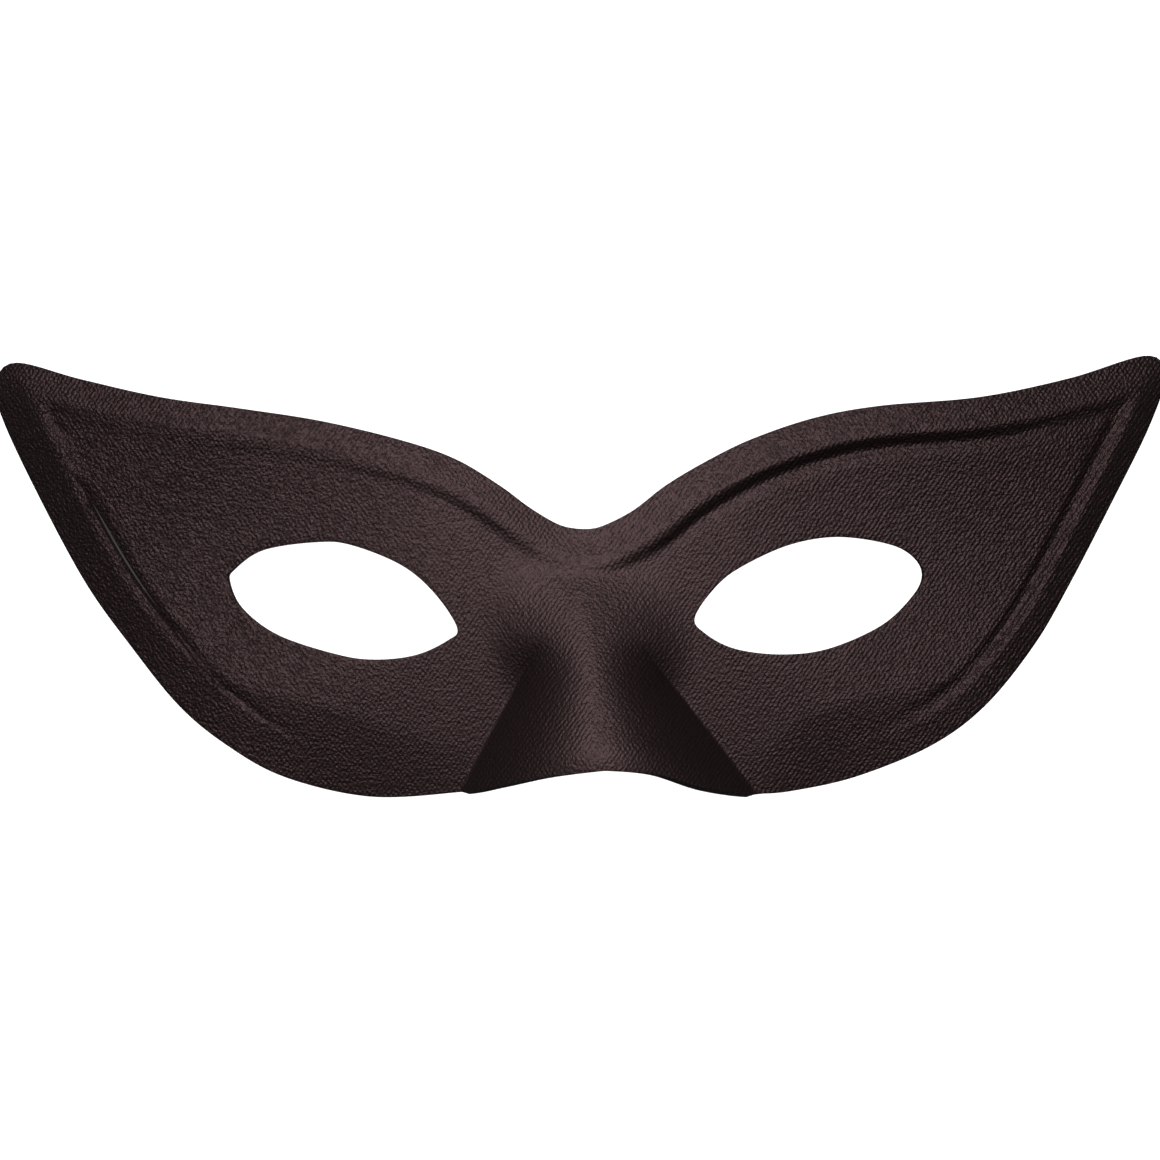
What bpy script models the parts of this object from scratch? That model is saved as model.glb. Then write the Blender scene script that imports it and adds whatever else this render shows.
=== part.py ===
"""Costume eye mask: a moulded half mask for the eyes, faced with black satin.

The satin is bonded to the moulded sheet, so the mask is one solid of constant wall.
It is drawn in the face frame, X across the face, Y up the face and Z out of it, and
then laid on the floor, face up, as it rests by itself: on its two tips and on the
lower edges of its wings. Left and right are the viewer's.
"""

import bmesh
import bpy
import numpy as np
from mathutils import Matrix

# Sizes in metres.
WIDTH = 0.2055         # tip to tip
HEIGHT = 0.0774        # lowest point of the cheeks to the highest point of the tips
WALL = 0.0015          # moulded sheet with its cloth
EYE_WIDTH = 0.0401
EYE_HEIGHT = 0.0205
EYE_GAP = 0.0416       # between the inner corners of the eye holes
EYE_LEVEL = 0.0348     # eye centres above the lowest point
FACE_SHIFT = 0.0007    # the eye holes sit this far left of the outline's middle
BEND_SHIFT = 0.0003    # the bend round the face sits this far left of it
EYE_SLANT = 0.0009     # the right eye hole sits this much higher
WRAP_DEPTH = 0.028     # the tips lie this far behind the bridge
BARREL = 0.0040        # brow and cheeks fall back by this much at mid face
BARREL_START = 0.040   # the fall dies out from here out
BARREL_END = 0.072     # and is gone from here out to the tips
CREST_INSET = 0.0048   # rim crest inside the cut edge
PANEL_INSET = 0.0086   # foot of the rim's inner step inside the cut edge
RIM_STEP = 0.0018      # rim crest above the panel
RIM_DROP = 0.0032      # cut edge below the rim crest
TRIM_SHIFT = 0.0013    # the sheet was cut this far to the left of its moulding
NOSE_HEIGHT = 0.0180   # nose above the cheeks, at its lower crest
NOSE_TOP = 0.0450      # the ridge starts to rise at this height on the face
NOSE_ROOT = 0.0406     # the lines of the two nose creases meet here
NOSE_CREST = 0.0092    # height on the face of the nose's lower crest
NOSE_EASE = 0.0080     # length of ridge over which it starts to rise
CREST_EASE = 0.0020    # length of ridge over which it turns at the crest
NOSE_SPREAD = 0.0190   # half the width of the soft upper part of the nose
EDGE_BLEND = 0.0015    # two edges that lie this close both shape the rim between them
SEAT_RADIUS = 0.0080   # flat seat for a strap on the back of each wing
SEAT_BLEND = 0.0040    # ring round a seat where it runs into the curve

# Shares that set the form.
WRAP_POWER = 2.9       # how late the wings bend back
SEAT_ACROSS = 0.70     # seat centre, as a share of half the width
SEAT_UP = 0.66         # seat centre, as a share of the height
CREASE_START = 0.28    # down the nose, where its creases begin
CREASE_FULL = 0.58     # down the nose, where they have their full depth
FLANGE_SHARE = 0.70    # the ridge loses this share of its rise below the crest

# Cut outline from the notch between the brows, round the tip, to the arch over the
# nose. Places are shares of half the width and of the height; step and drop are shares
# of RIM_STEP and RIM_DROP.
OUTLINE = (
    # name, left across, left up, right across, right up, left step, right step, drop
    ("notch foot", -0.003, 0.606, 0.003, 0.606, 0.10, 0.30, 0.45),
    ("notch side", 0.034, 0.615, 0.034, 0.611, 0.15, 0.45, 0.45),
    ("notch wall", 0.085, 0.654, 0.089, 0.647, 0.30, 0.70, 0.50),
    ("notch top", 0.136, 0.704, 0.145, 0.704, 0.45, 0.90, 0.50),
    ("inner brow", 0.213, 0.765, 0.213, 0.758, 0.55, 1.00, 0.50),
    ("brow rise", 0.307, 0.808, 0.293, 0.810, 0.40, 1.00, 0.50),
    ("brow", 0.443, 0.851, 0.400, 0.858, 0.25, 1.00, 0.50),
    ("outer brow", 0.579, 0.879, 0.511, 0.885, 0.25, 1.00, 0.50),
    ("temple", 0.716, 0.905, 0.681, 0.905, 0.30, 0.90, 0.55),
    ("wing", 0.852, 0.946, 0.835, 0.948, 0.50, 0.80, 0.60),
    ("tip top", 0.966, 0.984, 0.968, 1.000, 0.80, 0.80, 0.75),
    ("tip", 1.000, 0.932, 1.000, 0.955, 1.00, 1.00, 0.80),
    ("ear", 0.983, 0.842, 0.974, 0.842, 1.00, 1.00, 0.90),
    ("high side", 0.917, 0.661, 0.906, 0.661, 1.00, 1.00, 0.85),
    ("side", 0.842, 0.480, 0.835, 0.480, 1.00, 1.00, 0.80),
    ("low side", 0.768, 0.344, 0.775, 0.344, 0.90, 0.90, 0.80),
    ("high jaw", 0.685, 0.208, 0.692, 0.208, 0.60, 0.60, 0.85),
    ("jaw", 0.603, 0.118, 0.601, 0.118, 0.30, 0.30, 0.85),
    ("low jaw", 0.503, 0.045, 0.477, 0.049, 0.00, 0.00, 0.75),
    ("cheek", 0.358, 0.001, 0.375, 0.017, 0.00, 0.00, 0.50),
    ("nose foot", 0.208, 0.011, 0.302, 0.008, 0.00, 0.00, 0.10),
    ("inner arch", 0.136, 0.027, 0.213, 0.022, 0.00, 0.00, 0.00),
    ("arch side", 0.060, 0.046, 0.128, 0.054, 0.00, 0.00, 0.00),
    ("arch", -0.043, 0.061, 0.043, 0.061, 0.00, 0.00, 0.00),
)
ROW = {row[0]: number for number, row in enumerate(OUTLINE)}

# Eye hole from its inner corner over the top to the outer corner and back below.
# Places are shares of the eye's width from the inner corner and of its height.
EYE = (
    # name, left across, left up, right across, right up
    ("inner corner", 0.000, -0.231, 0.000, -0.182),
    ("inner top", 0.100, 0.067, 0.100, 0.094),
    ("top slope", 0.245, 0.305, 0.222, 0.266),
    ("top", 0.463, 0.475, 0.422, 0.438),
    ("crown", 0.620, 0.500, 0.632, 0.500),
    ("outer top", 0.852, 0.432, 0.854, 0.438),
    ("outer shoulder", 0.978, 0.271, 0.963, 0.326),
    ("outer corner", 1.000, 0.169, 1.000, 0.171),
    ("outer foot", 0.943, -0.061, 0.954, -0.009),
    ("lower slope", 0.782, -0.290, 0.819, -0.250),
    ("lower middle", 0.515, -0.460, 0.588, -0.448),
    ("floor", 0.345, -0.500, 0.383, -0.500),
    ("inner floor", 0.175, -0.460, 0.174, -0.453),
    ("inner foot", 0.044, -0.341, 0.043, -0.319),
)

# Mesh fineness.
TOP_CUTS = 18          # along the edge from the notch to the tip
LOW_CUTS = 20          # along the edge from the tip to the nose's foot
BRIDGE_CUTS = 3        # along the middle line between notch and nose
NOSE_CUTS = 11         # along the nose
NOSE_SECTION = 14      # across the nose
FIELD_CUTS = 12        # between two outline rows, where distances are measured
RIM_RINGS = (0.0, 0.2, 0.38, 0.56, 0.74, 1.0)   # shares of PANEL_INSET
PANEL_RINGS = 6        # from the rim to the eye hole
LEAST_SINE = 0.35      # rays that graze the edge count as this steep
RIM_REACH = 0.6        # the rim takes at most this share of a ray
RAY_EASING = 40        # passes that even out the rays round an eye hole
SETTLING_TURNS = 12    # turns of pitch and roll until the mask lies still
WELD = 0.00001

LEFT, RIGHT = -1, 1


def smooth_step(value):
    """Ease from 0 to 1 as the value goes from 0 to 1."""
    value = np.clip(value, 0.0, 1.0)
    return value * value * (3.0 - 2.0 * value)


def through(points, cuts, closed=False):
    """A smooth curve through rows of numbers, with so many cuts between two rows."""
    rows = np.asarray(points, float)
    count = len(rows)
    spans = count if closed else count - 1
    curve = []
    for span in range(spans):
        picks = [span - 1, span, span + 1, span + 2]
        if closed:
            picks = [pick % count for pick in picks]
        else:
            picks = [min(max(pick, 0), count - 1) for pick in picks]
        before, start, end, after = rows[picks]
        for cut in range(cuts):
            t = cut / cuts
            curve.append(0.5 * (2.0 * start + (end - before) * t
                                + (2.0 * before - 5.0 * start + 4.0 * end - after) * t ** 2
                                + (3.0 * start - before - 3.0 * end + after) * t ** 3))
    if not closed:
        curve.append(rows[-1])
    return np.array(curve)


def respaced(curve, cuts):
    """The same curve cut into stretches of equal length in its first two columns."""
    steps = np.linalg.norm(np.diff(curve[:, :2], axis=0), axis=1)
    along = np.concatenate(([0.0], np.cumsum(steps)))
    wanted = np.linspace(0.0, along[-1], cuts + 1)
    return np.stack([np.interp(wanted, along, column) for column in curve.T], axis=1)


def outline_rows(side):
    """Outline rows of one side in metres: across, up, step and drop."""
    place = 1 if side == LEFT else 3
    step = 5 if side == LEFT else 6
    rows = []
    for row in OUTLINE:
        across = side * row[place] * WIDTH / 2
        rows.append((across, row[place + 1] * HEIGHT, row[step] * RIM_STEP, row[7] * RIM_DROP))
    return rows


def eye_curve(side):
    """Eye hole of one side in metres, from the inner corner over the top."""
    place = 1 if side == LEFT else 3
    inner = side * EYE_GAP / 2 - FACE_SHIFT
    level = EYE_LEVEL + side * EYE_SLANT / 2
    rows = [(inner + side * row[place] * EYE_WIDTH, level + row[place + 1] * EYE_HEIGHT) for row in EYE]
    return through(rows, FIELD_CUTS, closed=True)


def edge_field():
    """The whole cut edge as one closed run of points with their step and drop."""
    left = through(outline_rows(LEFT), FIELD_CUTS)
    right = through(outline_rows(RIGHT), FIELD_CUTS)
    return np.concatenate((left[:-1], right[:0:-1]))


EDGE = edge_field()


def inside_edge(points):
    """Depth of each point inside the cut edge, and the step and drop that hold there."""
    start = EDGE
    end = np.roll(EDGE, -1, axis=0)
    run = end[:, :2] - start[:, :2]
    length = np.linalg.norm(run, axis=1)
    depths, values = [], []
    for point in points:
        offset = point - start[:, :2]
        share = np.clip((offset * run).sum(1) / (run * run).sum(1), 0.0, 1.0)
        gap = np.linalg.norm(offset - run * share[:, None], axis=1)
        crosses = (start[:, 1] > point[1]) != (end[:, 1] > point[1])
        reach = start[:, 0] + (point[1] - start[:, 1]) / np.where(crosses, run[:, 1], 1.0) * run[:, 0]
        inside = np.count_nonzero(crosses & (reach > point[0])) % 2 == 1
        depths.append(gap.min() if inside else -gap.min())
        pull = length * np.exp((gap.min() - gap) / EDGE_BLEND)
        values.append((start[:, 2:] * pull[:, None]).sum(0) / pull.sum())
    return np.array(depths), np.array(values)


def wrap(across):
    """The mask follows the face, flatter in the middle than towards the tips."""
    return -WRAP_DEPTH * (np.abs(across + BEND_SHIFT) / (WIDTH / 2)) ** WRAP_POWER


def barrel(across, up):
    """Brow and cheeks fall back from the middle of the face, but not on the wings."""
    fade = 1.0 - smooth_step((np.abs(across) - BARREL_START) / (BARREL_END - BARREL_START))
    return -BARREL * fade * ((up - EYE_LEVEL) / (HEIGHT / 2)) ** 2


def rim(points):
    """A crest follows the edge, with a slope outside it and a step down to the panel."""
    depth, values = inside_edge(points - np.array((TRIM_SHIFT, 0.0)))
    step = 1.0 - smooth_step((depth - CREST_INSET) / (PANEL_INSET - CREST_INSET))
    slope = np.maximum(1.0 - depth / CREST_INSET, 0.0)
    return values[:, 0] * step - values[:, 1] * slope


def nose_foot(side):
    """Where the crease along one side of the nose meets the cut edge."""
    return np.array(outline_rows(side)[ROW["nose foot"]][:2])


def nose_root():
    """Where the nose starts, straight below the notch."""
    return np.array((0.0, NOSE_ROOT))


def bend(run, ease):
    """Nothing before zero, then a run at full rate, with the turn eased over a length."""
    run = np.maximum(run, 0.0)
    return np.where(run < ease, run ** 2 / (2.0 * ease), run - ease / 2)


def nose(across, up):
    """A straight ridge, soft between the eyes, with sharp creases along the cheeks."""
    left, right = nose_foot(LEFT), nose_foot(RIGHT)
    base = (left[1] + right[1]) / 2
    grown = np.maximum(NOSE_ROOT - up, 0.0) / (NOSE_ROOT - base)
    ridge = grown * (left[0] + right[0]) / 2
    breadth = np.maximum(grown * (right[0] - left[0]) / 2, WELD)
    rate = NOSE_HEIGHT / bend(NOSE_TOP - NOSE_CREST, NOSE_EASE)
    height = rate * (bend(NOSE_TOP - up, NOSE_EASE) - FLANGE_SHARE * bend(NOSE_CREST - up, CREST_EASE))
    creased = np.maximum(1.0 - ((across - ridge) / breadth) ** 2, 0.0)
    soft = np.maximum(1.0 - ((across - ridge) / NOSE_SPREAD) ** 2, 0.0) ** 2
    sharp = smooth_step((grown - CREASE_START) / (CREASE_FULL - CREASE_START))
    return height * (soft + (creased - soft) * sharp)


def curved_front(points):
    """Height of the moulded face over each point of the face plane."""
    across, up = points[:, 0], points[:, 1]
    return wrap(across) + barrel(across, up) + rim(points) + nose(across, up)


def front(points):
    """The moulded face with a flat seat for a strap in each wing."""
    height = curved_front(points)
    for side in (LEFT, RIGHT):
        seat = np.array((side * SEAT_ACROSS * WIDTH / 2, SEAT_UP * HEIGHT))
        near = seat + SEAT_RADIUS / 2 * np.array(((0, 0), (1, 0), (-1, 0), (0, 1), (0, -1)))
        middle, right, left, above, below = curved_front(near)
        lean = np.array((right - left, above - below)) / SEAT_RADIUS
        flat = middle + (points - seat) @ lean
        away = np.linalg.norm(points - seat, axis=1)
        share = 1.0 - smooth_step((away - SEAT_RADIUS) / SEAT_BLEND)
        height += share * (flat - height)
    return height


def crease(side):
    """The crease along one side of the nose, from its foot up to the root."""
    shares = np.linspace(0.0, 1.0, NOSE_CUTS + 1)[:, None]
    return nose_foot(side) + (nose_root() - nose_foot(side)) * shares


def border(side):
    """Border of one wing: its cut edge, the nose's crease and the middle line above."""
    rows = outline_rows(side)
    tip, foot = ROW["tip"], ROW["nose foot"]
    top = respaced(through(rows, FIELD_CUTS)[:tip * FIELD_CUTS + 1], TOP_CUTS)
    low = respaced(through(rows, FIELD_CUTS)[tip * FIELD_CUTS:foot * FIELD_CUTS + 1], LOW_CUTS)
    shares = np.linspace(0.0, 1.0, BRIDGE_CUTS + 1)[:, None]
    bridge = nose_root() + (top[0, :2] - nose_root()) * shares
    return np.concatenate((top[:-1, :2], low[:-1, :2], crease(side)[:-1], bridge[:-1]))


def ray_feet(side, rim_points):
    """Where the rays from a border meet the eye hole, evened out round it."""
    hole = eye_curve(side)
    middle = (hole.min(0) + hole.max(0)) / 2
    turn = np.unwrap(np.arctan2(*(hole - middle).T[::-1]))
    aim = np.unwrap(np.arctan2(*(rim_points - middle).T[::-1]))
    way = np.sign(turn[-1] - turn[0])
    aim = aim - way * 2.0 * np.pi * np.floor(way * (aim[0] - turn[0]) / (2.0 * np.pi))
    laps = np.concatenate([turn + way * 2.0 * np.pi * lap for lap in (-1, 0, 1, 2)])
    index = np.arange(len(laps)) - len(turn)
    feet = np.interp(way * aim, way * laps, index)
    total = len(hole)
    for _ in range(RAY_EASING):
        ahead = np.append(feet[1:], feet[0] + total)
        behind = np.append(feet[-1] - total, feet[:-1])
        feet = 0.5 * feet + 0.25 * (ahead + behind)
    loop = np.concatenate((hole, hole[:1]))
    places = np.mod(feet, total)
    return np.stack([np.interp(places, np.arange(total + 1), column) for column in loop.T], axis=1)


def wing_rings(side):
    """Rings of points of one wing, from its border in to the eye hole."""
    outer = border(side)
    inner = ray_feet(side, outer)
    edge_run = np.roll(outer, -1, axis=0) - np.roll(outer, 1, axis=0)
    edge_run /= np.linalg.norm(edge_run, axis=1)[:, None]
    ray = inner - outer
    length = np.linalg.norm(ray, axis=1)
    sine = np.abs(edge_run[:, 0] * ray[:, 1] - edge_run[:, 1] * ray[:, 0]) / length
    rim_end = np.minimum(PANEL_INSET / np.maximum(sine, LEAST_SINE) / length, RIM_REACH)
    shares = [rim_end * share for share in RIM_RINGS]
    for ring in range(1, PANEL_RINGS + 1):
        shares.append(rim_end + (1.0 - rim_end) * ring / PANEL_RINGS)
    return [outer + ray * share[:, None] for share in shares]


def nose_rows():
    """Rows of points across the nose, from its root down to the cut edge."""
    arch = []
    for side in (LEFT, RIGHT):
        arch.append(through(outline_rows(side), FIELD_CUTS)[ROW["nose foot"] * FIELD_CUTS:, :2])
    foot = respaced(np.concatenate((arch[0], arch[1][-2::-1])), NOSE_SECTION)
    shares = np.linspace(0.0, 1.0, NOSE_CUTS + 1)
    return [nose_root() + (foot - nose_root()) * share for share in shares]


def raised(bm, points):
    """Vertices of the front face over points of the face plane."""
    return [bm.verts.new((*point, height)) for point, height in zip(points, front(points))]


def loft(bm, rows, closed, flip):
    """Faces between each row of vertices and the next."""
    for outer, inner in zip(rows, rows[1:]):
        for far in range(0 if closed else 1, len(outer)):
            corners = [outer[far - 1], outer[far], inner[far], inner[far - 1]]
            bm.faces.new(corners[::-1] if flip else corners)


def formed_sheet(mesh_name):
    """The front face of the mask: two wings lofted in to the eye holes, and the nose."""
    bm = bmesh.new()
    for side in (LEFT, RIGHT):
        rings = [raised(bm, points) for points in wing_rings(side)]
        loft(bm, rings, closed=True, flip=side == RIGHT)
    loft(bm, [raised(bm, points) for points in nose_rows()], closed=False, flip=True)
    bmesh.ops.remove_doubles(bm, verts=bm.verts, dist=WELD)
    mesh = bpy.data.meshes.new(mesh_name)
    bm.to_mesh(mesh)
    bm.free()
    mesh.shade_smooth()
    return mesh


def black_satin():
    """Black satin with a warm cast, bonded to the moulded sheet."""
    material = bpy.data.materials.new("black_satin")
    material.use_nodes = True
    shader = material.node_tree.nodes["Principled BSDF"]
    shader.inputs["Base Color"].default_value = (0.024, 0.019, 0.019, 1.0)
    shader.inputs["Roughness"].default_value = 0.62
    shader.inputs["Metallic"].default_value = 0.0
    shader.inputs["Sheen Weight"].default_value = 0.2
    return material


def thicken(sheet):
    """Give the sheet its wall, behind the front face."""
    wall = sheet.modifiers.new("wall", "SOLIDIFY")
    wall.thickness = WALL
    wall.offset = -1.0


def solid_points(sheet):
    """Corners of the walled sheet in the face frame."""
    depsgraph = bpy.context.evaluated_depsgraph_get()
    mesh = sheet.evaluated_get(depsgraph).data
    return np.array([vertex.co for vertex in mesh.vertices])


def balance_point(sheet):
    """Middle of the sheet's weight."""
    weights = np.array([face.area for face in sheet.data.polygons])
    places = np.array([face.center for face in sheet.data.polygons])
    return (places * weights[:, None]).sum(0) / weights.sum()


def underside_slope(points, balance, axis):
    """Slope of the line of contact under the weight, seen across one axis."""
    hull = []
    for place in sorted({(round(point[axis], 7), round(point[2], 7)) for point in points}):
        while len(hull) > 1:
            (run0, rise0), (run1, rise1) = hull[-2:]
            if (run1 - run0) * (place[1] - rise0) > (rise1 - rise0) * (place[0] - run0):
                break
            hull.pop()
        hull.append(place)
    for (run0, rise0), (run1, rise1) in zip(hull, hull[1:]):
        if run1 >= balance[axis]:
            break
    return np.arctan2(rise1 - rise0, run1 - run0)


def lay_down(sheet):
    """Turn the mask until it rests under its own weight, its box over the origin."""
    points, balance = solid_points(sheet), balance_point(sheet)
    turn = Matrix.Identity(3)
    for _ in range(SETTLING_TURNS):
        laid, weight = points @ np.array(turn).T, np.array(turn) @ balance
        turn = Matrix.Rotation(-underside_slope(laid, weight, 1), 3, "X") @ turn
        laid, weight = points @ np.array(turn).T, np.array(turn) @ balance
        turn = Matrix.Rotation(underside_slope(laid, weight, 0), 3, "Y") @ turn
    laid = points @ np.array(turn).T
    low, high = laid.min(0), laid.max(0)
    sheet.rotation_euler = turn.to_euler()
    sheet.location = (-(low[0] + high[0]) / 2, -(low[1] + high[1]) / 2, -low[2])


def main():
    for old in list(bpy.data.objects):
        bpy.data.objects.remove(old, do_unlink=True)
    parts = bpy.data.collections.new("costume_eye_mask")
    bpy.context.scene.collection.children.link(parts)
    mask = bpy.data.objects.new("mask_shell", formed_sheet("mask_shell"))
    mask.data.materials.append(black_satin())
    parts.objects.link(mask)
    thicken(mask)
    lay_down(mask)


main()
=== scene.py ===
"""Looks of the costume eye mask: its satin, its moulded relief, its cut edge and its back.

The finer mask is drawn in the face frame, X across the face, Y up the face and Z out of
it, with the sizes of the CAD solid, and then laid down as that solid lies. Lengths are
in metres. Left and right are the viewer's.
"""

import math

import bmesh
import bpy
import numpy as np
from mathutils import Euler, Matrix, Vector


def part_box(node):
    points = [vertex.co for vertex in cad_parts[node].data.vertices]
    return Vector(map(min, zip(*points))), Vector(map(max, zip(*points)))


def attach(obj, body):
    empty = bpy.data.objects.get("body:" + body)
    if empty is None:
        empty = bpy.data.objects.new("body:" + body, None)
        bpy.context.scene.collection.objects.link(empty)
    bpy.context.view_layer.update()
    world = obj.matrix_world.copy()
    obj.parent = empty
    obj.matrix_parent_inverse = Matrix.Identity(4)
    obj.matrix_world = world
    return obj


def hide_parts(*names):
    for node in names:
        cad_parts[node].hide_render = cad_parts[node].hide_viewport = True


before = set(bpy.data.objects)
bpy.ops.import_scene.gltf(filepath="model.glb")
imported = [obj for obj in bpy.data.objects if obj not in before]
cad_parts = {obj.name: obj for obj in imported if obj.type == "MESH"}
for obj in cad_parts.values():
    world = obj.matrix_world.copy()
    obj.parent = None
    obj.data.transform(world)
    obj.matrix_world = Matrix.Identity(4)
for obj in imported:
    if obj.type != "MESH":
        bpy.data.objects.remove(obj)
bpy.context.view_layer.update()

# Sizes shared with the CAD solid. The rim and the nose's foot are a little softer here.
WIDTH = 0.2055
HEIGHT = 0.0774
WALL = 0.0015
EYE_WIDTH = 0.0401
EYE_HEIGHT = 0.0205
EYE_GAP = 0.0416
EYE_LEVEL = 0.0348
FACE_SHIFT = 0.0007
BEND_SHIFT = 0.0003
EYE_SLANT = 0.0009
WRAP_DEPTH = 0.028
WRAP_POWER = 2.9
BARREL = 0.0040
BARREL_START = 0.040
BARREL_END = 0.072
CREST_INSET = 0.0048
STEP_START = 0.0060
PANEL_INSET = 0.0082
RIM_STEP = 0.0018
RIM_DROP = 0.0032
TRIM_SHIFT = 0.0013
NOSE_HEIGHT = 0.0180
NOSE_TOP = 0.0450
NOSE_ROOT = 0.0406
NOSE_CREST = 0.0092
NOSE_EASE = 0.0080
CREST_EASE = 0.0035
NOSE_SPREAD = 0.019
CREASE_START = 0.28
CREASE_FULL = 0.58
FLANGE_SHARE = 0.70
EDGE_BLEND = 0.0015

# Low relief that only the scene has: the groove inside the rim, the wings' dish and the
# rounding of the cut edge. The groove's breadth is half of its full one, and the dish's
# width and height are half of its full ones.
GROOVE_DEPTH = 0.0018
GROOVE_INSET = 0.0070
GROOVE_LEFT = 0.0008
GROOVE_RIGHT = 0.0019
DISH_DEPTH = 0.0028
DISH_ACROSS = 0.058
DISH_UP = 0.042
DISH_WIDTH = 0.038
DISH_HEIGHT = 0.030
EDGE_ROUND = 0.0003

# How the solid lies on the floor.
REST_PITCH = math.radians(17.355)
REST_ROLL = math.radians(0.468)

# Cut outline, as shares of half the width and of the height. The rim's step, drop, groove
# and reach are shares of RIM_STEP, RIM_DROP, GROOVE_DEPTH and CREST_INSET.
OUTLINE = (
    # name, left across, left up, right across, right up, left step, right step,
    # drop, left groove, right groove, reach
    ("notch foot", -0.003, 0.606, 0.003, 0.606, 0.10, 0.30, 0.45, 0.00, 0.00, 1.0),
    ("notch side", 0.034, 0.615, 0.034, 0.611, 0.15, 0.45, 0.45, 0.00, 0.00, 1.0),
    ("notch wall", 0.085, 0.654, 0.089, 0.647, 0.30, 0.70, 0.50, 0.00, 0.15, 1.0),
    ("notch top", 0.136, 0.704, 0.145, 0.704, 0.45, 0.90, 0.50, 0.00, 0.35, 1.0),
    ("inner brow", 0.213, 0.765, 0.213, 0.758, 0.30, 0.60, 0.50, 0.00, 0.55, 1.0),
    ("brow rise", 0.307, 0.808, 0.293, 0.810, 0.25, 0.55, 0.50, 0.00, 0.70, 1.0),
    ("brow", 0.443, 0.851, 0.400, 0.858, 0.15, 0.50, 0.50, 0.00, 0.75, 1.0),
    ("outer brow", 0.579, 0.879, 0.511, 0.885, 0.10, 0.50, 0.50, 0.00, 0.70, 1.0),
    ("temple", 0.716, 0.905, 0.681, 0.905, 0.10, 0.45, 0.55, 0.00, 0.60, 1.0),
    ("wing", 0.852, 0.946, 0.835, 0.948, 0.15, 0.40, 0.60, 0.00, 0.45, 1.0),
    ("tip top", 0.966, 0.984, 0.968, 1.000, 0.25, 0.40, 0.45, 0.15, 0.35, 1.0),
    ("tip", 1.000, 0.932, 1.000, 0.955, 0.35, 0.45, 0.50, 0.35, 0.40, 1.0),
    ("ear", 0.983, 0.842, 0.974, 0.842, 0.35, 0.45, 0.80, 0.75, 0.60, 1.0),
    ("high side", 0.917, 0.661, 0.906, 0.661, 0.35, 0.45, 0.85, 1.00, 0.75, 1.0),
    ("side", 0.842, 0.480, 0.835, 0.480, 0.35, 0.45, 0.80, 1.00, 0.80, 1.0),
    ("low side", 0.768, 0.344, 0.775, 0.344, 0.30, 0.40, 0.80, 0.85, 0.75, 1.0),
    ("high jaw", 0.685, 0.208, 0.692, 0.208, 0.20, 0.25, 0.85, 0.55, 0.50, 1.5),
    ("jaw", 0.603, 0.118, 0.601, 0.118, 0.10, 0.10, 0.85, 0.20, 0.20, 2.4),
    ("low jaw", 0.503, 0.045, 0.477, 0.049, 0.00, 0.00, 0.75, 0.00, 0.00, 2.8),
    ("cheek", 0.358, 0.001, 0.375, 0.017, 0.00, 0.00, 0.50, 0.00, 0.00, 2.6),
    ("nose foot", 0.208, 0.011, 0.302, 0.008, 0.00, 0.00, 0.10, 0.00, 0.00, 1.5),
    ("inner arch", 0.136, 0.027, 0.213, 0.022, 0.00, 0.00, 0.00, 0.00, 0.00, 1.0),
    ("arch side", 0.060, 0.046, 0.128, 0.054, 0.00, 0.00, 0.00, 0.00, 0.00, 1.0),
    ("arch", -0.043, 0.061, 0.043, 0.061, 0.00, 0.00, 0.00, 0.00, 0.00, 1.0),
)
ROW = {row[0]: number for number, row in enumerate(OUTLINE)}

# Eye holes, as shares of the eye's width from the inner corner and of its height.
EYE = (
    # name, left across, left up, right across, right up
    ("inner corner", 0.000, -0.231, 0.000, -0.182),
    ("inner top", 0.100, 0.067, 0.100, 0.094),
    ("top slope", 0.245, 0.305, 0.222, 0.266),
    ("top", 0.463, 0.475, 0.422, 0.438),
    ("crown", 0.620, 0.500, 0.632, 0.500),
    ("outer top", 0.852, 0.432, 0.854, 0.438),
    ("outer shoulder", 0.978, 0.271, 0.963, 0.326),
    ("outer corner", 1.000, 0.169, 1.000, 0.171),
    ("outer foot", 0.943, -0.061, 0.954, -0.009),
    ("lower slope", 0.782, -0.290, 0.819, -0.250),
    ("lower middle", 0.515, -0.460, 0.588, -0.448),
    ("floor", 0.345, -0.500, 0.383, -0.500),
    ("inner floor", 0.175, -0.460, 0.174, -0.453),
    ("inner foot", 0.044, -0.341, 0.043, -0.319),
)

# Mesh fineness.
TOP_CUTS = 90
LOW_CUTS = 100
BRIDGE_CUTS = 12
NOSE_CUTS = 48
NOSE_SECTION = 64
FIELD_CUTS = 12
RIM_RINGS = 24
PANEL_RINGS = 14
LEAST_SINE = 0.35
RIM_REACH = 0.6
RAY_EASING = 600
REACH_EASING = 60
WELD = 0.00001

# The photograph's frame.
PHOTO_SIDE = 1160      # pixels
PHOTO_MIDDLE = 580     # pixel column of the outline's middle
PHOTO_FOOT = 797       # pixel row of the lowest point of the cheeks
PHOTO_SPAN = 1174      # pixels from tip to tip
CAMERA_AWAY = 5.6
CAMERA_DEPTH = -0.010  # depth in the face frame at which the scale holds
SENSOR = 36.0          # millimetres

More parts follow.
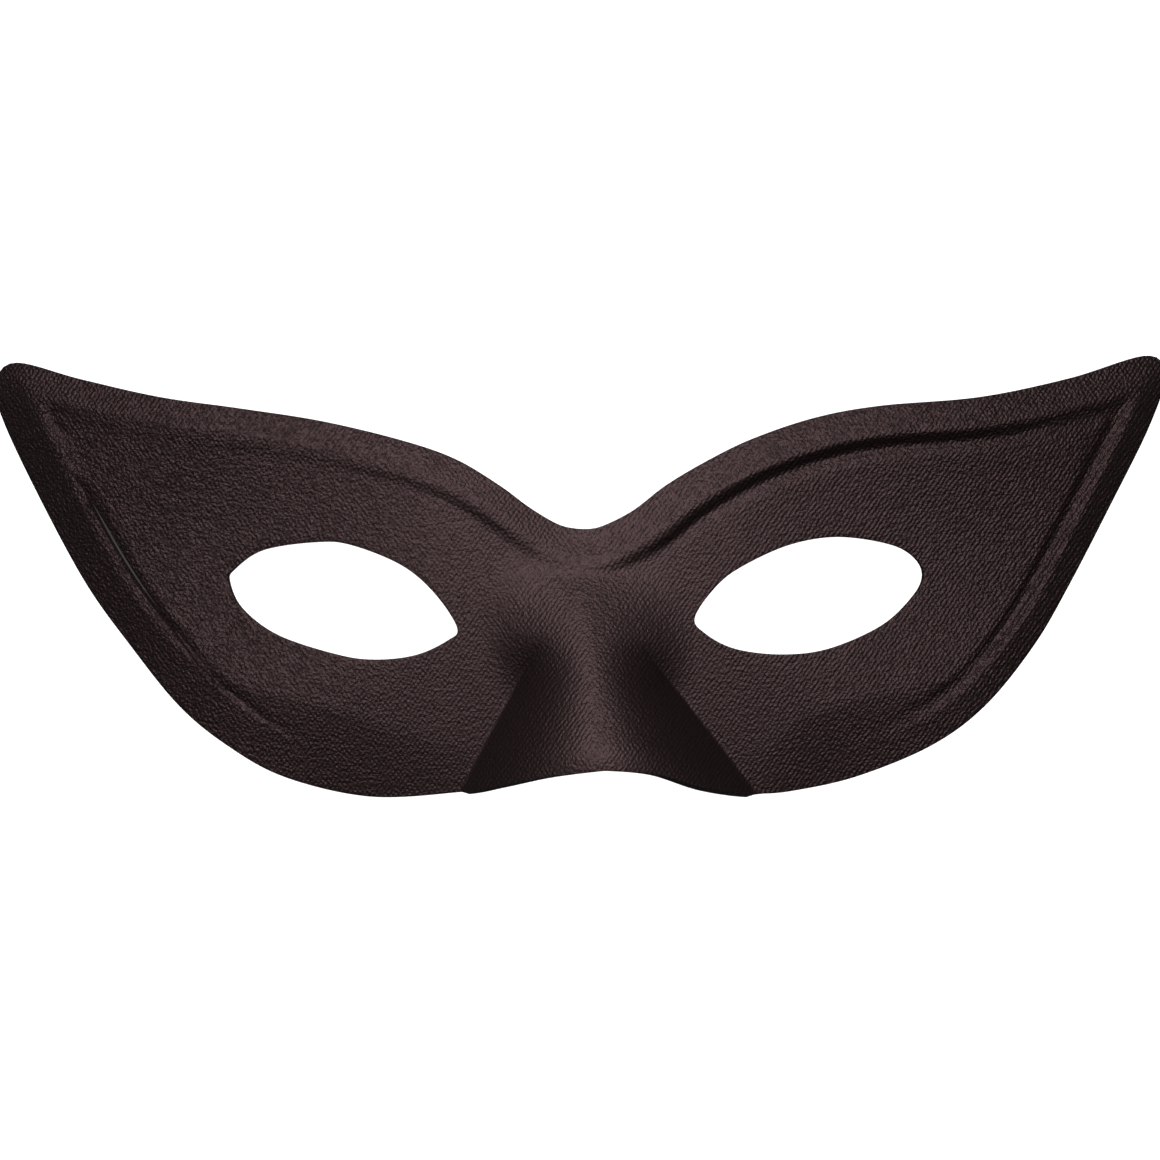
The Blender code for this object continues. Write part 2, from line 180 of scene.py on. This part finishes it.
# The satin's weave: the pitch of its dots, and how far they wander, in radians.
THREAD_ACROSS = 0.00085
THREAD_UP = 0.00121
WANDER = 5.0
DOT_SHARE = 0.5
TWILL_SHARE = 0.35
GRAIN_SHARE = 2.4
WEAVE_RELIEF = 0.00016
CALM_MIDDLE = (0.015, 0.55)    # distance across from the middle, and the relief's share there
COARSE_WING = (0.075, 1.25)
THREAD_SHADE = (-0.2, 1.9)     # weave heights that take the dark and the light thread
THREAD_DARK = (0.0004, 0.00025, 0.00025, 1.0)
THREAD_LIGHT = (0.0040, 0.0025, 0.0025, 1.0)
SATIN_TINT = (1.0, 0.64, 0.66, 1.0)
LINT_SCALE = 75.0
LINT_SIZE = (0.008, 0.016)     # shares of the lint's spacing, full and faded out
LINT_COLOUR = (0.10, 0.085, 0.085, 1.0)
BACKING_COLOUR = (0.012, 0.011, 0.011, 1.0)

# The studio.
FLOOR_COLOUR = (0.85, 0.85, 0.85, 1.0)
FLOOR_HALF = 15.0
SKY = 0.06
SUN_SPREAD = 40                # degrees
SUNS = (
    # name, strength, direction in the face frame, casts a shadow
    ("front", 1.1, (-0.05, 0.05, 1.0), True),
    ("high", 4.0, (-0.10, 0.75, 1.0), False),
    ("left", 0.8, (-0.95, 0.30, 1.0), False),
    ("right", 0.5, (0.95, 0.30, 1.0), False),
)

LEFT, RIGHT = -1, 1


def smooth_step(value):
    """Ease from 0 to 1 as the value goes from 0 to 1."""
    value = np.clip(value, 0.0, 1.0)
    return value * value * (3.0 - 2.0 * value)


def through(points, cuts, closed=False):
    """A smooth curve through rows of numbers, with so many cuts between two rows."""
    rows = np.asarray(points, float)
    count = len(rows)
    curve = []
    for span in range(count if closed else count - 1):
        picks = [span - 1, span, span + 1, span + 2]
        if closed:
            picks = [pick % count for pick in picks]
        else:
            picks = [min(max(pick, 0), count - 1) for pick in picks]
        before, start, end, after = rows[picks]
        for cut in range(cuts):
            t = cut / cuts
            curve.append(0.5 * (2.0 * start + (end - before) * t
                                + (2.0 * before - 5.0 * start + 4.0 * end - after) * t ** 2
                                + (3.0 * start - before - 3.0 * end + after) * t ** 3))
    if not closed:
        curve.append(rows[-1])
    return np.array(curve)


def respaced(curve, cuts):
    """The same curve cut into stretches of equal length in its first two columns."""
    steps = np.linalg.norm(np.diff(curve[:, :2], axis=0), axis=1)
    along = np.concatenate(([0.0], np.cumsum(steps)))
    wanted = np.linspace(0.0, along[-1], cuts + 1)
    return np.stack([np.interp(wanted, along, column) for column in curve.T], axis=1)


def outline_rows(side):
    """Outline rows of one side in metres: across, up, step, drop, groove and reach."""
    place = 1 if side == LEFT else 3
    step = 5 if side == LEFT else 6
    groove_place = 8 if side == LEFT else 9
    rows = []
    for row in OUTLINE:
        across = side * row[place] * WIDTH / 2
        rows.append((across, row[place + 1] * HEIGHT, row[step] * RIM_STEP, row[7] * RIM_DROP,
                     row[groove_place] * GROOVE_DEPTH, row[10] * CREST_INSET))
    return rows


def eye_curve(side):
    """Eye hole of one side in metres, from the inner corner over the top."""
    place = 1 if side == LEFT else 3
    inner = side * EYE_GAP / 2 - FACE_SHIFT
    level = EYE_LEVEL + side * EYE_SLANT / 2
    rows = []
    for row in EYE:
        rows.append((inner + side * row[place] * EYE_WIDTH, level + row[place + 1] * EYE_HEIGHT))
    return through(rows, FIELD_CUTS, closed=True)


def edge_field():
    """The whole cut edge as one closed run of points with the rim's four values."""
    left = through(outline_rows(LEFT), FIELD_CUTS)
    right = through(outline_rows(RIGHT), FIELD_CUTS)
    return np.concatenate((left[:-1], right[:0:-1]))


EDGE = edge_field()


def inside_edge(points):
    """Depth of each point inside the cut edge, and the rim's four values that hold there."""
    start = EDGE
    end = np.roll(EDGE, -1, axis=0)
    run = end[:, :2] - start[:, :2]
    length = np.linalg.norm(run, axis=1)
    depths, values = [], []
    for point in points:
        offset = point - start[:, :2]
        share = np.clip((offset * run).sum(1) / (run * run).sum(1), 0.0, 1.0)
        gap = np.linalg.norm(offset - run * share[:, None], axis=1)
        crosses = (start[:, 1] > point[1]) != (end[:, 1] > point[1])
        reach = start[:, 0] + (point[1] - start[:, 1]) / np.where(crosses, run[:, 1], 1.0) * run[:, 0]
        inside = np.count_nonzero(crosses & (reach > point[0])) % 2 == 1
        depths.append(gap.min() if inside else -gap.min())
        pull = length * np.exp((gap.min() - gap) / EDGE_BLEND)
        values.append((start[:, 2:] * pull[:, None]).sum(0) / pull.sum())
    return np.array(depths), np.array(values)


def wrap(across):
    """The mask follows the face, flatter in the middle than towards the tips."""
    return -WRAP_DEPTH * (np.abs(across + BEND_SHIFT) / (WIDTH / 2)) ** WRAP_POWER


def barrel(across, up):
    """Brow and cheeks fall back from the middle of the face, but not on the wings."""
    fade = 1.0 - smooth_step((np.abs(across) - BARREL_START) / (BARREL_END - BARREL_START))
    return -BARREL * fade * ((up - EYE_LEVEL) / (HEIGHT / 2)) ** 2


def rim(points):
    """A crest follows the edge, with a slope outside it and a step down to the panel."""
    depth, values = inside_edge(points - np.array((TRIM_SHIFT, 0.0)))
    step = 1.0 - smooth_step((depth - STEP_START) / (PANEL_INSET - STEP_START))
    slope = np.maximum(1.0 - depth / values[:, 3], 0.0)
    return values[:, 0] * step - values[:, 1] * slope


def dish(across, up):
    """Each wing's panel is dished between its rim and the eye."""
    away = ((np.abs(across) - DISH_ACROSS) / DISH_WIDTH) ** 2 + ((up - DISH_UP) / DISH_HEIGHT) ** 2
    return -DISH_DEPTH * np.maximum(1.0 - away, 0.0) ** 2


def groove(points):
    """How deep the groove inside the rim is, narrow on the left and broad on the right."""
    depth, values = inside_edge(points - np.array((TRIM_SHIFT, 0.0)))
    breadth = np.where(points[:, 0] < 0.0, GROOVE_LEFT, GROOVE_RIGHT)
    return -values[:, 2] * np.maximum(1.0 - ((depth - GROOVE_INSET) / breadth) ** 2, 0.0) ** 2


def nose_foot(side):
    """Where the crease along one side of the nose meets the cut edge."""
    return np.array(outline_rows(side)[ROW["nose foot"]][:2])


def nose_root():
    """Where the nose starts, straight below the notch."""
    return np.array((0.0, NOSE_ROOT))


def bend(run, ease):
    """Nothing before zero, then a run at full rate, with the turn eased over a length."""
    run = np.maximum(run, 0.0)
    return np.where(run < ease, run ** 2 / (2.0 * ease), run - ease / 2)


def nose(across, up):
    """A straight ridge, soft between the eyes, with sharp creases along the cheeks."""
    left, right = nose_foot(LEFT), nose_foot(RIGHT)
    base = (left[1] + right[1]) / 2
    grown = np.maximum(NOSE_ROOT - up, 0.0) / (NOSE_ROOT - base)
    ridge = grown * (left[0] + right[0]) / 2
    breadth = np.maximum(grown * (right[0] - left[0]) / 2, WELD)
    rate = NOSE_HEIGHT / bend(NOSE_TOP - NOSE_CREST, NOSE_EASE)
    height = rate * (bend(NOSE_TOP - up, NOSE_EASE) - FLANGE_SHARE * bend(NOSE_CREST - up, CREST_EASE))
    creased = np.maximum(1.0 - ((across - ridge) / breadth) ** 2, 0.0)
    soft = np.maximum(1.0 - ((across - ridge) / NOSE_SPREAD) ** 2, 0.0) ** 2
    sharp = smooth_step((grown - CREASE_START) / (CREASE_FULL - CREASE_START))
    return height * (soft + (creased - soft) * sharp)


def front(points):
    """Height of the moulded face over each point of the face plane."""
    across, up = points[:, 0], points[:, 1]
    return wrap(across) + barrel(across, up) + dish(across, up) + rim(points) + nose(across, up)


def crease(side):
    """The crease along one side of the nose, from its foot up to the root."""
    shares = np.linspace(0.0, 1.0, NOSE_CUTS + 1)[:, None]
    return nose_foot(side) + (nose_root() - nose_foot(side)) * shares


def border(side):
    """Border of one wing: its cut edge, the nose's crease and the middle line above."""
    rows = outline_rows(side)
    tip, foot = ROW["tip"], ROW["nose foot"]
    top = respaced(through(rows, FIELD_CUTS)[:tip * FIELD_CUTS + 1], TOP_CUTS)
    low = respaced(through(rows, FIELD_CUTS)[tip * FIELD_CUTS:foot * FIELD_CUTS + 1], LOW_CUTS)
    shares = np.linspace(0.0, 1.0, BRIDGE_CUTS + 1)[:, None]
    bridge = nose_root() + (top[0, :2] - nose_root()) * shares
    return np.concatenate((top[:-1, :2], low[:-1, :2], crease(side)[:-1], bridge[:-1]))


def ray_feet(side, rim_points):
    """Where the rays from a border meet the eye hole, evened out round it."""
    hole = eye_curve(side)
    middle = (hole.min(0) + hole.max(0)) / 2
    turn = np.unwrap(np.arctan2(*(hole - middle).T[::-1]))
    aim = np.unwrap(np.arctan2(*(rim_points - middle).T[::-1]))
    way = np.sign(turn[-1] - turn[0])
    aim = aim - way * 2.0 * np.pi * np.floor(way * (aim[0] - turn[0]) / (2.0 * np.pi))
    laps = np.concatenate([turn + way * 2.0 * np.pi * lap for lap in (-1, 0, 1, 2)])
    index = np.arange(len(laps)) - len(turn)
    feet = np.interp(way * aim, way * laps, index)
    total = len(hole)
    for _ in range(RAY_EASING):
        ahead = np.append(feet[1:], feet[0] + total)
        behind = np.append(feet[-1] - total, feet[:-1])
        feet = 0.5 * feet + 0.25 * (ahead + behind)
    loop = np.concatenate((hole, hole[:1]))
    places = np.mod(feet, total)
    return np.stack([np.interp(places, np.arange(total + 1), column) for column in loop.T], axis=1)


def wing_rings(side):
    """Rings of points of one wing, from its border in to the eye hole."""
    outer = border(side)
    inner = ray_feet(side, outer)
    edge_run = np.roll(outer, -1, axis=0) - np.roll(outer, 1, axis=0)
    edge_run /= np.linalg.norm(edge_run, axis=1)[:, None]
    ray = inner - outer
    length = np.linalg.norm(ray, axis=1)
    sine = np.abs(edge_run[:, 0] * ray[:, 1] - edge_run[:, 1] * ray[:, 0]) / length
    rim_end = np.minimum(PANEL_INSET / np.maximum(sine, LEAST_SINE) / length, RIM_REACH)
    for _ in range(REACH_EASING):
        rim_end = 0.5 * rim_end + 0.25 * (np.roll(rim_end, 1) + np.roll(rim_end, -1))
    shares = [rim_end * ring / RIM_RINGS for ring in range(RIM_RINGS + 1)]
    for ring in range(1, PANEL_RINGS + 1):
        shares.append(rim_end + (1.0 - rim_end) * ring / PANEL_RINGS)
    return [outer + ray * share[:, None] for share in shares]


def nose_rows():
    """Rows of points across the nose, from its root down to the cut edge."""
    arch = []
    for side in (LEFT, RIGHT):
        arch.append(through(outline_rows(side), FIELD_CUTS)[ROW["nose foot"] * FIELD_CUTS:, :2])
    foot = respaced(np.concatenate((arch[0], arch[1][-2::-1])), NOSE_SECTION)
    shares = np.linspace(0.0, 1.0, NOSE_CUTS + 1)
    return [nose_root() + (foot - nose_root()) * share for share in shares]


def raised(bm, points):
    """Vertices of the front face over points of the face plane."""
    return [bm.verts.new((*point, height)) for point, height in zip(points, front(points))]


def loft(bm, rows, closed, flip):
    """Faces between each row of vertices and the next."""
    for outer, inner in zip(rows, rows[1:]):
        for far in range(0 if closed else 1, len(outer)):
            corners = [outer[far - 1], outer[far], inner[far], inner[far - 1]]
            bm.faces.new(corners[::-1] if flip else corners)


def formed_sheet(mesh_name):
    """The front face of the mask: two wings lofted in to the eye holes, and the nose."""
    bm = bmesh.new()
    for side in (LEFT, RIGHT):
        rings = [raised(bm, points) for points in wing_rings(side)]
        loft(bm, rings, closed=True, flip=side == RIGHT)
    loft(bm, [raised(bm, points) for points in nose_rows()], closed=False, flip=True)
    bmesh.ops.remove_doubles(bm, verts=bm.verts, dist=WELD)
    mesh = bpy.data.meshes.new(mesh_name)
    bm.to_mesh(mesh)
    bm.free()
    mesh.shade_smooth()
    return mesh


def walled(sheet):
    """Give the sheet its wall, press the groove into its front and round its cut edges."""
    front_count = len(sheet.data.vertices)
    wall = sheet.modifiers.new("wall", "SOLIDIFY")
    wall.thickness = WALL
    wall.offset = -1.0
    wall.material_offset = 1
    depsgraph = bpy.context.evaluated_depsgraph_get()
    solid = bpy.data.meshes.new_from_object(sheet.evaluated_get(depsgraph))
    sheet.modifiers.clear()
    sheet.data = solid
    points = np.array([solid.vertices[number].co[:2] for number in range(front_count)])
    for number, sink in enumerate(groove(points)):
        solid.vertices[number].co.z += sink
    edge = sheet.modifiers.new("edge", "BEVEL")
    edge.width = EDGE_ROUND
    edge.segments = 2
    edge.limit_method = "ANGLE"
    edge.angle_limit = math.radians(65)


def laid_down(sheet):
    """Turn the mask as the CAD solid lies, and bring its box over the solid's box."""
    turn = Euler((REST_PITCH, REST_ROLL, 0.0)).to_matrix()
    depsgraph = bpy.context.evaluated_depsgraph_get()
    points = np.array([vertex.co for vertex in sheet.evaluated_get(depsgraph).data.vertices])
    laid = points @ np.array(turn).T
    low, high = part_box("mask_shell")
    middle = (laid.min(0) + laid.max(0)) / 2
    sheet.rotation_euler = turn.to_euler()
    sheet.location = ((low.x + high.x) / 2 - middle[0], (low.y + high.y) / 2 - middle[1],
                      low.z - laid[:, 2].min())


class Nodes:
    """Short words for building a material's nodes."""

    def __init__(self, name):
        self.material = bpy.data.materials.new(name)
        self.material.use_nodes = True
        self.tree = self.material.node_tree
        self.shader = self.tree.nodes["Principled BSDF"]

    def add(self, kind, **settings):
        node = self.tree.nodes.new(kind)
        for key, value in settings.items():
            setattr(node, key, value)
        return node

    def link(self, source, target):
        self.tree.links.new(source, target)

    def feed(self, socket, value):
        if isinstance(value, (int, float)):
            socket.default_value = value
        else:
            self.link(value, socket)

    def math(self, operation, first, second=0.0):
        node = self.add("ShaderNodeMath", operation=operation)
        self.feed(node.inputs[0], first)
        self.feed(node.inputs[1], second)
        return node.outputs[0]

    def noise(self, vector, scale, detail=2.0):
        node = self.add("ShaderNodeTexNoise")
        self.link(vector, node.inputs["Vector"])
        node.inputs["Scale"].default_value = scale
        node.inputs["Detail"].default_value = detail
        return node.outputs["Fac"]

    def spread(self, value, start, end, least, most):
        """Take the value from start to end over to least to most, and hold it outside."""
        node = self.add("ShaderNodeMapRange")
        self.link(value, node.inputs["Value"])
        for name, number in (("From Min", start), ("From Max", end), ("To Min", least), ("To Max", most)):
            node.inputs[name].default_value = number
        return node.outputs[0]

    def blend(self, factor, colour, other):
        """A colour or a socket, blended over to another colour."""
        node = self.add("ShaderNodeMix", data_type="RGBA")
        self.link(factor, node.inputs["Factor"])
        if isinstance(colour, tuple):
            node.inputs["A"].default_value = colour
        else:
            self.link(colour, node.inputs["A"])
        node.inputs["B"].default_value = other
        return node.outputs["Result"]

    def relief(self, height, strength, distance):
        """Bump the surface by a height."""
        bump = self.add("ShaderNodeBump")
        bump.inputs["Strength"].default_value = strength
        bump.inputs["Distance"].default_value = distance
        self.link(height, bump.inputs["Height"])
        self.link(bump.outputs[0], self.shader.inputs["Normal"])


def satin():
    """Black satin: a staggered weave of fine threads, dark, with a broad warm gloss."""
    n = Nodes("black_satin")
    place = n.add("ShaderNodeTexCoord").outputs["Object"]
    parts = n.add("ShaderNodeSeparateXYZ")
    n.link(place, parts.inputs[0])
    across = n.math("MULTIPLY", parts.outputs["X"], 2.0 * math.pi / THREAD_ACROSS)
    across = n.math("ADD", across, n.math("MULTIPLY", n.noise(place, 260.0), WANDER))
    up = n.math("MULTIPLY", parts.outputs["Y"], 2.0 * math.pi / THREAD_UP)
    up = n.math("ADD", up, n.math("MULTIPLY", n.noise(place, 210.0), WANDER))
    dots = n.math("MULTIPLY", n.math("SINE", across), n.math("SINE", up))
    twill = n.math("COSINE", n.math("ADD", across, up))
    pattern = n.math("ADD", n.math("MULTIPLY", dots, DOT_SHARE), n.math("MULTIPLY", twill, TWILL_SHARE))
    grain = n.noise(place, 1900.0, 1.0)
    height = n.math("ADD", pattern, n.math("MULTIPLY", grain, GRAIN_SHARE))
    away = n.math("ABSOLUTE", parts.outputs["X"])
    share = n.spread(away, CALM_MIDDLE[0], COARSE_WING[0], CALM_MIDDLE[1], COARSE_WING[1])
    n.relief(n.math("MULTIPLY", height, share), 1.0, WEAVE_RELIEF)
    thread = n.blend(n.spread(height, *THREAD_SHADE, 0.0, 1.0), THREAD_DARK, THREAD_LIGHT)
    lint = n.add("ShaderNodeTexVoronoi")
    n.link(place, lint.inputs["Vector"])
    lint.inputs["Scale"].default_value = LINT_SCALE
    speck = n.spread(lint.outputs["Distance"], *LINT_SIZE, 1.0, 0.0)
    n.link(n.blend(speck, thread, LINT_COLOUR), n.shader.inputs["Base Color"])
    n.shader.inputs["Roughness"].default_value = 0.5
    n.shader.inputs["Specular IOR Level"].default_value = 0.32
    n.shader.inputs["Specular Tint"].default_value = SATIN_TINT
    return n.material


def backing():
    """Plain matt black cloth on the back."""
    n = Nodes("black_backing")
    place = n.add("ShaderNodeTexCoord").outputs["Object"]
    n.relief(n.noise(place, 900.0, 3.0), 0.4, 0.0002)
    n.shader.inputs["Base Color"].default_value = BACKING_COLOUR
    n.shader.inputs["Roughness"].default_value = 0.85
    return n.material


def build_mask():
    """The mask, in place of the CAD solid."""
    mask = bpy.data.objects.new("satin_mask", formed_sheet("satin_mask"))
    bpy.context.scene.collection.objects.link(mask)
    mask.data.materials.append(satin())
    mask.data.materials.append(backing())
    walled(mask)
    laid_down(mask)
    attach(mask, "root")
    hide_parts("mask_shell")
    return mask


def build_floor():
    """A plain pale floor, which the satin doesn't mirror."""
    n = Nodes("pale_floor")
    n.shader.inputs["Base Color"].default_value = FLOOR_COLOUR
    n.shader.inputs["Roughness"].default_value = 0.9
    mesh = bpy.data.meshes.new("floor")
    half = FLOOR_HALF
    corners = [(-half, -half, 0), (half, -half, 0), (half, half, 0), (-half, half, 0)]
    mesh.from_pydata(corners, [], [(0, 1, 2, 3)])
    mesh.materials.append(n.material)
    floor = bpy.data.objects.new("floor", mesh)
    floor.visible_glossy = False
    bpy.context.scene.collection.objects.link(floor)


def face_point(mask, across, up, depth):
    """A point of the face frame, in the row frame."""
    bpy.context.view_layer.update()
    return mask.matrix_world @ Vector((across, up, depth))


def build_camera(mask):
    """Look straight at the face, with the photograph's frame."""
    scale = WIDTH / PHOTO_SPAN
    across = (PHOTO_SIDE / 2 - PHOTO_MIDDLE) * scale
    up = (PHOTO_FOOT - PHOTO_SIDE / 2) * scale
    data = bpy.data.cameras.new("camera")
    data.sensor_width = SENSOR
    data.lens = SENSOR * CAMERA_AWAY / (PHOTO_SIDE * scale)
    camera = bpy.data.objects.new("camera", data)
    bpy.context.scene.collection.objects.link(camera)
    camera.location = face_point(mask, across, up, CAMERA_DEPTH + CAMERA_AWAY)
    camera.rotation_euler = mask.matrix_world.to_euler()
    bpy.context.scene.camera = camera


def build_sun(name, strength, direction, shadow):
    """One broad soft light that comes from a direction in the row frame."""
    data = bpy.data.lights.new(name, "SUN")
    data.energy = strength
    data.angle = math.radians(SUN_SPREAD)
    data.use_shadow = shadow
    sun = bpy.data.objects.new(name, data)
    bpy.context.scene.collection.objects.link(sun)
    sun.rotation_euler = Vector(direction).to_track_quat("Z", "Y").to_euler()


def build_light(mask):
    """Plain soft studio light from in front of the face and above it."""
    to_face = mask.matrix_world.to_3x3()
    for name, strength, direction, shadow in SUNS:
        build_sun(name, strength, to_face @ Vector(direction), shadow)
    world = bpy.data.worlds.new("studio")
    bpy.context.scene.world = world
    world.use_nodes = True
    background = world.node_tree.nodes["Background"]
    background.inputs["Color"].default_value = (1.0, 1.0, 1.0, 1.0)
    background.inputs["Strength"].default_value = SKY
    bpy.context.scene.view_settings.view_transform = "Standard"


mask = build_mask()
build_floor()
build_camera(mask)
build_light(mask)
